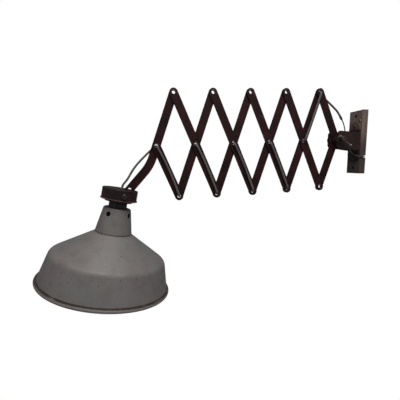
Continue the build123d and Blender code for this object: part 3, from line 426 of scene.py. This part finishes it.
# %% [markdown]
# ## Finishes
#
# Every finish is worked out from the point on the object, so it needs no image. Effects that several
# finishes share, such as worn patches and dark specks, are node groups with a few numbers to set. They are
# built first. A group takes sockets, and the material around it decides what the result means.


# %% Node helpers
def new_group(name, inputs, output="Fac"):
    """An empty shader node group with number inputs and one number output."""
    tree = bpy.data.node_groups.new(name, "ShaderNodeTree")
    for label, value in inputs:
        socket = tree.interface.new_socket(label, in_out="INPUT", socket_type="NodeSocketFloat")
        socket.default_value = value
    tree.interface.new_socket(output, in_out="OUTPUT", socket_type="NodeSocketFloat")
    return tree, tree.nodes.new("NodeGroupInput"), tree.nodes.new("NodeGroupOutput")


def join(tree, source, target):
    """Links an output to an input."""
    tree.links.new(source, target)


def maths(tree, operation, a, b=None, clamp=False):
    """One Math node; a and b are sockets or numbers."""
    node = tree.nodes.new("ShaderNodeMath")
    node.operation = operation
    node.use_clamp = clamp
    for socket, value in zip(node.inputs, (a, b)):
        if value is None:
            continue
        if isinstance(value, (int, float)):
            socket.default_value = value
        else:
            tree.links.new(value, socket)
    return node.outputs[0]


def ramp(tree, value, low, high, to_low=0.0, to_high=1.0):
    """Maps a value smoothly from one range to another."""
    node = tree.nodes.new("ShaderNodeMapRange")
    node.interpolation_type = "SMOOTHSTEP"
    for label, given in (("Value", value), ("From Min", low), ("From Max", high), ("To Min", to_low),
                         ("To Max", to_high)):
        if isinstance(given, (int, float)):
            node.inputs[label].default_value = given
        else:
            tree.links.new(given, node.inputs[label])
    return node.outputs[0]


def own_point(tree):
    """The point on the object, in its own coordinates."""
    return tree.nodes.new("ShaderNodeTexCoord").outputs["Object"]


# %% Patches
patches, given, result = new_group("worn patches", [("Scale", 30.0), ("Share", 0.5), ("Softness", 0.1),
                                                    ("Shift", 0.0)])
noise = patches.nodes.new("ShaderNodeTexNoise")
noise.noise_dimensions = "4D"
noise.inputs["Detail"].default_value = 6.0
noise.inputs["Roughness"].default_value = 0.62
join(patches, own_point(patches), noise.inputs["Vector"])
join(patches, given.outputs["Scale"], noise.inputs["Scale"])
join(patches, given.outputs["Shift"], noise.inputs["W"])
edge = maths(patches, "SUBTRACT", 1.0, given.outputs["Share"])
low_edge = maths(patches, "SUBTRACT", edge, given.outputs["Softness"])
high_edge = maths(patches, "ADD", edge, given.outputs["Softness"])
join(patches, ramp(patches, noise.outputs["Fac"], low_edge, high_edge), result.inputs["Fac"])
print("group", patches.name)

# %% Specks
specks, given, result = new_group("specks", [("Scale", 120.0), ("Size", 0.12), ("Share", 0.3)])
cells = specks.nodes.new("ShaderNodeTexVoronoi")
cells.feature = "F1"
join(specks, own_point(specks), cells.inputs["Vector"])
join(specks, given.outputs["Scale"], cells.inputs["Scale"])
pick = specks.nodes.new("ShaderNodeSeparateColor")
join(specks, cells.outputs["Color"], pick.inputs["Color"])
chosen = maths(specks, "LESS_THAN", pick.outputs["Red"], given.outputs["Share"])
size = maths(specks, "MULTIPLY", given.outputs["Size"], maths(specks, "ADD", pick.outputs["Green"], 0.35))
inside = ramp(specks, maths(specks, "DIVIDE", cells.outputs["Distance"], size), 0.6, 1.0, 1.0, 0.0)
join(specks, maths(specks, "MULTIPLY", inside, chosen), result.inputs["Fac"])
print("group", specks.name)

# %% [markdown]
# Rust sits at fixed depths on the head: in the groove above the rolled rim and at the seam under the collar,
# and a painted highlight runs along the cap's lip. A group measures how far down the lamp's own axis a point
# is, by a dot product with the axis. The materials turn that depth into bands.

# %% Depth down the lamp
depth_group, given, result = new_group("depth down the lamp", [], "Depth")
offset = depth_group.nodes.new("ShaderNodeVectorMath")
offset.operation = "SUBTRACT"
join(depth_group, own_point(depth_group), offset.inputs[0])
offset.inputs[1].default_value = HEAD_ORIGIN
project = depth_group.nodes.new("ShaderNodeVectorMath")
project.operation = "DOT_PRODUCT"
join(depth_group, offset.outputs[0], project.inputs[0])
project.inputs[1].default_value = HEAD_DOWN
join(depth_group, project.outputs["Value"], result.inputs["Depth"])
print("group", depth_group.name)


# %% Material helpers
def use_group(tree, group, **values):
    """One use of a node group, with its numbers set; returns its result."""
    node = tree.nodes.new("ShaderNodeGroup")
    node.node_tree = group
    for label, value in values.items():
        node.inputs[label].default_value = value
    return node.outputs[0]


def mixed(tree, fac, a, b):
    """Mixes two colours; each is a colour or a socket."""
    node = tree.nodes.new("ShaderNodeMix")
    node.data_type = "RGBA"
    colour_inputs = [s for s in node.inputs if s.type == "RGBA"]
    factor = [s for s in node.inputs if s.type == "VALUE"][0]
    if isinstance(fac, (int, float)):
        factor.default_value = fac
    else:
        tree.links.new(fac, factor)
    for socket, value in zip(colour_inputs, (a, b)):
        if isinstance(value, tuple):
            socket.default_value = (*value, 1.0)
        else:
            tree.links.new(value, socket)
    return [s for s in node.outputs if s.type == "RGBA"][0]


def bumped(tree, height, distance, strength=1.0):
    """A normal that a height, a socket, makes uneven; distance is its depth in metres."""
    bump = tree.nodes.new("ShaderNodeBump")
    bump.inputs["Distance"].default_value = distance
    bump.inputs["Strength"].default_value = strength
    tree.links.new(height, bump.inputs["Height"])
    return bump.outputs["Normal"]


def new_material(name, roughness=0.5, metallic=0.0):
    """A Principled material and its tree."""
    material = bpy.data.materials.new(name)
    material.use_nodes = True
    tree = material.node_tree
    shader = tree.nodes["Principled BSDF"]
    shader.inputs["Roughness"].default_value = roughness
    shader.inputs["Metallic"].default_value = metallic
    return material, tree, shader


def band(tree, depth, centre, half_width, feather):
    """1 within a band of depth, fading over the feather."""
    away = maths(tree, "ABSOLUTE", maths(tree, "SUBTRACT", depth, centre))
    return ramp(tree, away, half_width, half_width + feather, 1.0, 0.0)


def dress(material, *names):
    """Gives a material to CAD nodes and to pieces, by name or object."""
    for item in names:
        thing = nodes[item] if isinstance(item, str) else item
        thing.data.materials.clear()
        thing.data.materials.append(material)


# %% [markdown]
# ### Strips of the arm
#
# The strips are mild steel under old oxblood paint, almost black where hands and oil have been, redder
# where the paint is still whole. Large soft patches mix the two browns. Small hard ones are bare rust, and
# a fine noise gives the surface its tooth.

# %% Strip paint
strip_paint, tree, shader = new_material("strip paint")
dark = (0.0110, 0.0036, 0.0036)
oxblood = (0.034, 0.0068, 0.0062)
rust = (0.050, 0.017, 0.011)
body = mixed(tree, use_group(tree, patches, Scale=26.0, Share=0.5, Softness=0.14), dark, oxblood)
chips = use_group(tree, patches, Scale=90.0, Share=0.36, Softness=0.03, Shift=4.0)
colour = mixed(tree, chips, body, rust)
join(tree, colour, shader.inputs["Base Color"])
sheen = use_group(tree, patches, Scale=60.0, Share=0.5, Softness=0.2, Shift=9.0)
join(tree, ramp(tree, sheen, 0.0, 1.0, 0.42, 0.66), shader.inputs["Roughness"])
shader.inputs["Specular IOR Level"].default_value = 0.2
tooth = use_group(tree, patches, Scale=600.0, Share=0.5, Softness=0.35, Shift=2.0)
join(tree, bumped(tree, tooth, 0.00012, 0.5), shader.inputs["Normal"])
strips = [f"{layer}_strip_{k}" for layer in ("front", "rear") for k in range(1, CELLS)]
dress(strip_paint, *strips, "front_half_strip_lamp", "front_half_strip_wall", "rear_half_strip_wall",
      "lamp_carrier")
print(strip_paint.name, "on", len(strips) + 4, "nodes")

# %% [markdown]
# ### Bracket, screws and pivot hardware
#
# The bracket is the same paint with more rust, and its upper end is painted a lighter pinkish brown, partly
# as worn paint and partly as painted light from above. Screws and bolts are bare steel that has browned. A
# metal with a high roughness and a dark base reads as old steel; polished metal would be far too bright.

# %% Bracket paint
LIT_AND_WORN_FROM = 0.031           # heights between which the painted light and the wear at the bracket's upper end set in
LIT_AND_WORN_FULL = 0.036

bracket_paint, tree, shader = new_material("bracket paint", 0.6)
shader.inputs["Specular IOR Level"].default_value = 0.3
body = mixed(tree, use_group(tree, patches, Scale=45.0, Share=0.5, Softness=0.15, Shift=3.0),
             (0.014, 0.0085, 0.0085), (0.032, 0.0125, 0.0105))
body = mixed(tree, use_group(tree, patches, Scale=110.0, Share=0.4, Softness=0.05, Shift=6.0), body,
             (0.070, 0.026, 0.018))
place = tree.nodes.new("ShaderNodeSeparateXYZ")
join(tree, own_point(tree), place.inputs[0])
# the upper end is painted lighter: partly worn paint, partly painted light from above
bare = maths(tree, "MULTIPLY", ramp(tree, place.outputs["Z"], LIT_AND_WORN_FROM, LIT_AND_WORN_FULL),
             use_group(tree, patches, Scale=60.0, Share=0.7, Softness=0.2, Shift=2.0))
colour = mixed(tree, bare, body, (0.120, 0.070, 0.064))
join(tree, colour, shader.inputs["Base Color"])
tooth = use_group(tree, patches, Scale=450.0, Share=0.5, Softness=0.3, Shift=1.0)
join(tree, bumped(tree, tooth, 0.0002, 0.6), shader.inputs["Normal"])
dress(bracket_paint, "wall_bracket")

# %% Browned steel
rusty_steel, tree, shader = new_material("rusty steel", 0.62, 0.35)
colour = mixed(tree, use_group(tree, patches, Scale=260.0, Share=0.5, Softness=0.15), (0.040, 0.020, 0.017),
               (0.105, 0.050, 0.040))
join(tree, colour, shader.inputs["Base Color"])
grain = use_group(tree, patches, Scale=900.0, Share=0.5, Softness=0.3, Shift=5.0)
join(tree, bumped(tree, grain, 0.0001, 0.6), shader.inputs["Normal"])
dress(rusty_steel, "bracket_screws", "clamp_washers", "lead_clip")

worn_steel, tree, shader = new_material("worn steel", 0.42, 0.8)
colour = mixed(tree, use_group(tree, patches, Scale=200.0, Share=0.5, Softness=0.2, Shift=7.0),
               (0.035, 0.026, 0.024), (0.11, 0.095, 0.088))
join(tree, colour, shader.inputs["Base Color"])
rivets = [f"rivets_front_strip_{k}" for k in range(1, CELLS)]
dress(worn_steel, *rivets, "rivets_front_half_lamp", "rivet_front_half_wall", "clamp_bolt", "clamp_nut",
      "pivot_bush", "spacer_sleeves", "head_spacers", "lock_nut", "head_bolt", "head_nut")

handled_steel, tree, shader = new_material("handled steel", 0.34, 0.9)
colour = mixed(tree, use_group(tree, patches, Scale=180.0, Share=0.5, Softness=0.2, Shift=11.0),
               (0.10, 0.075, 0.070), (0.42, 0.36, 0.34))
join(tree, colour, shader.inputs["Base Color"])
dress(handled_steel, "tommy_bar")
print("steel on the fasteners and rivets")

# %% [markdown]
# ### Cap and lampholder
#
# The cap is enamelled nearly black, with a painted highlight in a browner, paler band along its lip. Its
# colour therefore follows the depth along the lamp's axis. The lampholder is a dark moulding with a soft
# shine.

# %% Cap
LIP_DEPTH = 0.0238

cap_paint, tree, shader = new_material("cap enamel", 0.5)
shader.inputs["Specular IOR Level"].default_value = 0.3
depth = use_group(tree, depth_group)
body = mixed(tree, use_group(tree, patches, Scale=60.0, Share=0.48, Softness=0.12, Shift=2.0),
             (0.0105, 0.0085, 0.0078), (0.030, 0.0125, 0.0100))
# a paler reddish-brown band along the lip: a painted highlight
lip_highlight = maths(tree, "MULTIPLY", band(tree, depth, LIP_DEPTH, 0.0009, 0.0008),
            use_group(tree, patches, Scale=70.0, Share=0.62, Softness=0.2, Shift=8.0))
colour = mixed(tree, lip_highlight, body, (0.115, 0.046, 0.036))
join(tree, colour, shader.inputs["Base Color"])
tooth = use_group(tree, patches, Scale=500.0, Share=0.5, Softness=0.3)
join(tree, bumped(tree, tooth, 0.00012, 0.5), shader.inputs["Normal"])
dress(cap_paint, "cap", "cap_base")

bakelite, tree, shader = new_material("dark moulding", 0.38)
colour = mixed(tree, use_group(tree, patches, Scale=150.0, Share=0.45, Softness=0.15, Shift=1.0),
               (0.0105, 0.0068, 0.0062), (0.032, 0.0165, 0.0125))
join(tree, colour, shader.inputs["Base Color"])
dress(bakelite, "lampholder", "shade_ring")
print(cap_paint.name, bakelite.name)

# %% [markdown]
# ### Shade
#
# The shade is spun aluminium gone dull. Years in a workshop have mottled it: cooler and warmer grey clouds,
# small dark specks, a few larger stains, and brown grime in the groove above the wired rim and at the seam.
# The clouds are low-contrast, because the photograph shows an even grey from a distance. Such a dull skin
# has a soft wide highlight, so it is mostly a plain grey with a little metal in it.

# %% Shade metal
SEAM_DEPTH = 0.1015
RIM_DEPTH = 0.2251

shade_metal, tree, shader = new_material("dull aluminium", 0.55, 0.25)
depth = use_group(tree, depth_group)
warm = use_group(tree, patches, Scale=9.0, Share=0.5, Softness=0.22, Shift=1.5)
body = mixed(tree, warm, (0.205, 0.208, 0.196), (0.244, 0.208, 0.206))
body = mixed(tree, use_group(tree, patches, Scale=38.0, Share=0.42, Softness=0.16, Shift=5.0), body,
             (0.180, 0.172, 0.166))
stains = use_group(tree, specks, Scale=24.0, Size=0.22, Share=0.20)
body = mixed(tree, maths(tree, "MULTIPLY", stains, 0.5), body, (0.085, 0.074, 0.066))
small = use_group(tree, specks, Scale=140.0, Size=0.20, Share=0.42)
body = mixed(tree, maths(tree, "MULTIPLY", small, 0.7), body, (0.070, 0.050, 0.045))
ragged = use_group(tree, patches, Scale=55.0, Share=0.66, Softness=0.2, Shift=3.0)
groove = maths(tree, "MULTIPLY", band(tree, depth, RIM_DEPTH - 0.0046, 0.0009, 0.0011), ragged)
body = mixed(tree, maths(tree, "MULTIPLY", groove, 0.9), body, (0.036, 0.018, 0.009))
seam = maths(tree, "MULTIPLY", band(tree, depth, SEAM_DEPTH + 0.0012, 0.0010, 0.0012), ragged)
colour = mixed(tree, maths(tree, "MULTIPLY", seam, 0.45), body, (0.075, 0.036, 0.022))
join(tree, colour, shader.inputs["Base Color"])
cloud = use_group(tree, patches, Scale=20.0, Share=0.5, Softness=0.3, Shift=7.0)
join(tree, ramp(tree, cloud, 0.0, 1.0, 0.52, 0.68), shader.inputs["Roughness"])
tooth = use_group(tree, patches, Scale=420.0, Share=0.5, Softness=0.35, Shift=6.0)
join(tree, bumped(tree, tooth, 0.00010, 0.35), shader.inputs["Normal"])
dress(shade_metal, "shade", "shade_collar")
print(shade_metal.name)

# %% [markdown]
# ### Wooden board
#
# The board is bare wood gone pinkish grey. Its grain runs up the board, so the noise is stretched along Z.
# A few dark pores, a darker lower half that is painted shade under the bracket, and black painted shade in
# the two screw holes follow the photograph.

# %% Wood
MOUNT_SPACING = 0.136       # between the two screw holes
HOLE_SHADE_TO = 0.0036            # distances from a hole's middle between which its painted shade fades out
HOLE_SHADE_END = 0.0046

board_wood, tree, shader = new_material("board wood", 0.72)
stretch = tree.nodes.new("ShaderNodeMapping")
stretch.inputs["Scale"].default_value = (1.0, 1.0, 0.07)
join(tree, own_point(tree), stretch.inputs["Vector"])
grain = tree.nodes.new("ShaderNodeTexNoise")
grain.inputs["Scale"].default_value = 420.0
grain.inputs["Detail"].default_value = 5.0
join(tree, stretch.outputs[0], grain.inputs["Vector"])
figure = tree.nodes.new("ShaderNodeTexNoise")
figure.inputs["Scale"].default_value = 90.0
figure.inputs["Distortion"].default_value = 1.2
join(tree, stretch.outputs[0], figure.inputs["Vector"])
body = mixed(tree, ramp(tree, figure.outputs["Fac"], 0.35, 0.65), (0.150, 0.100, 0.085),
             (0.205, 0.150, 0.134))
body = mixed(tree, ramp(tree, grain.outputs["Fac"], 0.56, 0.72, 0.0, 0.4), body, (0.090, 0.058, 0.048))
place = tree.nodes.new("ShaderNodeSeparateXYZ")
join(tree, own_point(tree), place.inputs[0])
# darker towards the bottom, below the bracket: painted shade under the bracket
shade_under_bracket = maths(tree, "MULTIPLY", ramp(tree, place.outputs["Z"], -0.02, 0.035, 1.0, 0.0),
              use_group(tree, patches, Scale=40.0, Share=0.72, Softness=0.22))
body = mixed(tree, maths(tree, "MULTIPLY", shade_under_bracket, 0.85), body, (0.042, 0.025, 0.020))
above_hole = maths(tree, "SUBTRACT", maths(tree, "ABSOLUTE", place.outputs["Z"]), MOUNT_SPACING / 2)
from_hole = tree.nodes.new("ShaderNodeVectorMath")
from_hole.operation = "LENGTH"
on_face = tree.nodes.new("ShaderNodeCombineXYZ")
join(tree, above_hole, on_face.inputs["X"])
join(tree, place.outputs["Y"], on_face.inputs["Y"])
join(tree, on_face.outputs[0], from_hole.inputs[0])
# black painted shade in and around the two screw holes
hole_shade = ramp(tree, from_hole.outputs["Value"], HOLE_SHADE_TO, HOLE_SHADE_END, 1.0, 0.0)
colour = mixed(tree, hole_shade, body, (0.006, 0.007, 0.006))
join(tree, colour, shader.inputs["Base Color"])
join(tree, bumped(tree, grain.outputs["Fac"], 0.0003, 0.5), shader.inputs["Normal"])
dress(board_wood, "wall_board")
print(board_wood.name)

# %% [markdown]
# ### Brass, rubber, porcelain and glass
#
# These show little or not at all in the photograph. The brass is dull, the rubber is black, and the glass
# is clear and thin.

# %% Small finishes
brass, tree, shader = new_material("dull brass", 0.45, 0.9)
colour = mixed(tree, use_group(tree, patches, Scale=300.0, Share=0.5, Softness=0.2), (0.16, 0.105, 0.045),
               (0.34, 0.235, 0.105))
join(tree, colour, shader.inputs["Base Color"])
dress(brass, "brass_screw", "screw_shell", "centre_contact", "bulb_cap")

rubber, tree, shader = new_material("black rubber", 0.55)
dust = use_group(tree, patches, Scale=250.0, Share=0.4, Softness=0.2)
colour = mixed(tree, dust, (0.050, 0.051, 0.050), (0.150, 0.148, 0.142))
join(tree, colour, shader.inputs["Base Color"])
dress(rubber, "flex_ferrule", "cord_grommet", *leads)

porcelain, tree, shader = new_material("porcelain", 0.25)
colour = mixed(tree, use_group(tree, patches, Scale=120.0, Share=0.4, Softness=0.2), (0.70, 0.68, 0.62),
               (0.52, 0.49, 0.43))
join(tree, colour, shader.inputs["Base Color"])
dress(porcelain, "terminal_block")

glass, tree, shader = new_material("bulb glass", 0.08)
shader.inputs["Transmission Weight"].default_value = 0.85
shader.inputs["IOR"].default_value = 1.45
colour = mixed(tree, use_group(tree, patches, Scale=40.0, Share=0.5, Softness=0.3), (0.92, 0.92, 0.90),
               (0.84, 0.84, 0.81))
join(tree, colour, shader.inputs["Base Color"])
dress(glass, "bulb_glass")
print("small finishes done")

# %% [markdown]
# ### Braid
#
# The flex is covered in woven grey cotton. Each tube's own map runs along it and around it, so two sets of
# crossing spiral waves make the braid. Their product is the height of the threads.

# %% Braid
braid, tree, shader = new_material("grey braid", 0.85)
own_map = tree.nodes.new("ShaderNodeTexCoord").outputs["UV"]
split = tree.nodes.new("ShaderNodeSeparateXYZ")
join(tree, own_map, split.inputs[0])
THREADS_ROUND = 10
THREADS_ALONG = 105
turns_round = maths(tree, "MULTIPLY", split.outputs["Y"], THREADS_ROUND * 2 * pi)
turns_along = maths(tree, "MULTIPLY", split.outputs["X"], THREADS_ALONG * 2 * pi)
one_way = maths(tree, "SINE", maths(tree, "ADD", turns_along, turns_round))
other_way = maths(tree, "SINE", maths(tree, "SUBTRACT", turns_along, turns_round))
weave = maths(tree, "MULTIPLY_ADD", maths(tree, "MULTIPLY", one_way, other_way), 0.5)
weave.node.inputs[2].default_value = 0.5
worn = mixed(tree, use_group(tree, patches, Scale=50.0, Share=0.5, Softness=0.2), (0.118, 0.119, 0.110),
             (0.180, 0.174, 0.160))
# the low parts between the threads are painted darker: painted shade in the grooves
colour = mixed(tree, ramp(tree, weave, 0.15, 0.6, 0.4, 0.0), worn, (0.056, 0.055, 0.050))
join(tree, colour, shader.inputs["Base Color"])
join(tree, bumped(tree, weave, 0.0003, 0.45), shader.inputs["Normal"])
shader.inputs["Specular IOR Level"].default_value = 0.15
dress(braid, *braided)
print(braid.name, "on", len(braided), "stretches")
